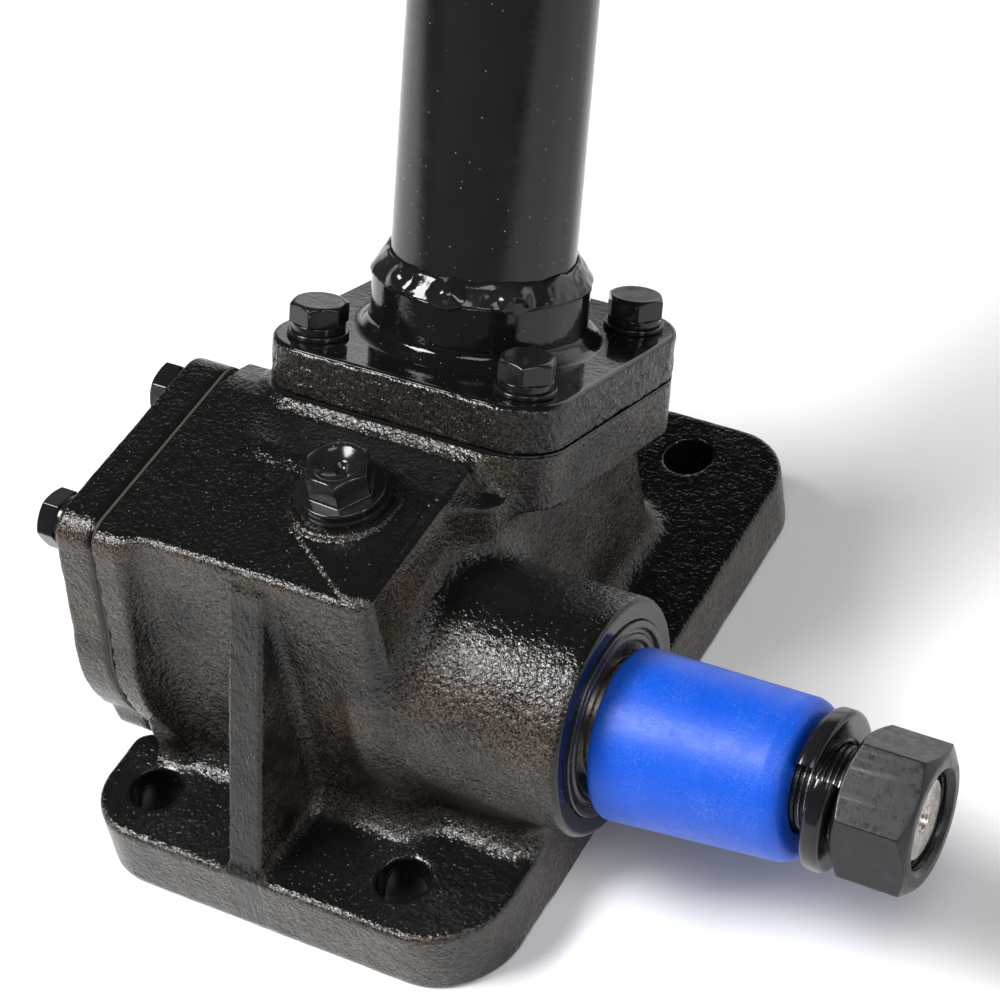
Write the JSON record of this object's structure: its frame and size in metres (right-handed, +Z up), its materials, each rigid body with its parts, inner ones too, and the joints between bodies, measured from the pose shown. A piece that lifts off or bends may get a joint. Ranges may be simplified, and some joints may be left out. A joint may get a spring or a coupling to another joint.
{
  "type": "steering gearbox",
  "caption": "Manual steering gearbox: a worm on a tilted column shaft turns a toothed sector whose output shaft leaves the cast housing at a right angle.",
  "frame": {"origin": "centre of the foot's four bolt holes, on the foot's bottom face", "axes": "+X along the drop arm shaft towards its nut, +Y the way the column leans, +Z up from the foot"},
  "size_m": [0.3022, 0.3298, 0.4835],
  "materials": {
    "cast_black": "gloss black paint over a sand casting",
    "gloss_black": "smooth gloss black paint",
    "black_oxide": "satin black oxide",
    "bright_steel": "turned steel",
    "bearing_steel": "ground steel",
    "bronze": "bronze bush",
    "blue_plastic": "soft blue plastic",
    "seal_rubber": "oiled black rubber",
    "gasket": "gasket paper under paint",
    "bush_plastic": "moulded bush",
    "cap_plastic": "moulded cap"
  },
  "bodies": {
    "housing": {"gear_housing": "cast_black", "side_cover": "cast_black", "cover_gasket": "gasket", "cover_bolts": "gloss_black", "cover_lock_washers": "gloss_black", "adjuster_screw": "black_oxide", "adjuster_locknut": "black_oxide", "cover_bush": "bronze", "housing_bushes": "bronze", "thrust_washer": "bright_steel", "output_seal": "seal_rubber", "lower_bearing_outer": "bearing_steel", "lower_bearing_balls": "bearing_steel", "upper_bearing_outer": "bearing_steel", "upper_bearing_balls": "bearing_steel", "bearing_shims": "gasket", "column_flange": "cast_black", "column_tube": "gloss_black", "weld_bead": "gloss_black", "flange_bolts": "gloss_black", "flange_lock_washers": "gloss_black", "flange_washers": "gloss_black", "column_bush": "bush_plastic", "column_cap": "cap_plastic", "filler_plug": "gloss_black", "plug_washer": "gasket"},
    "steering": {"steering_shaft": "bright_steel", "worm": "bright_steel", "lower_bearing_inner": "bearing_steel", "upper_bearing_inner": "bearing_steel"},
    "drop_arm_shaft": {"sector_shaft": "bright_steel", "spline_sleeve": "blue_plastic", "output_lock_washer": "black_oxide", "output_nut": "black_oxide"}
  },
  "joints": [
    {"name": "steering_turn", "type": "hinge", "parent": "housing", "child": "steering", "pos_m": [0.01, 0.06835, 0.18271], "axis": [0, 0.4067, 0.9135], "range_deg": [-630, 630]},
    {"name": "sector_turn", "type": "hinge", "parent": "housing", "child": "drop_arm_shaft", "pos_m": [0, -0.049, 0.07], "axis": [1, 0, 0], "range_deg": [-35.1, 35.1]}
  ],
  "couplings": [
    {"joint": "sector_turn", "follows": "steering_turn", "ratio": -0.055556}
  ]
}
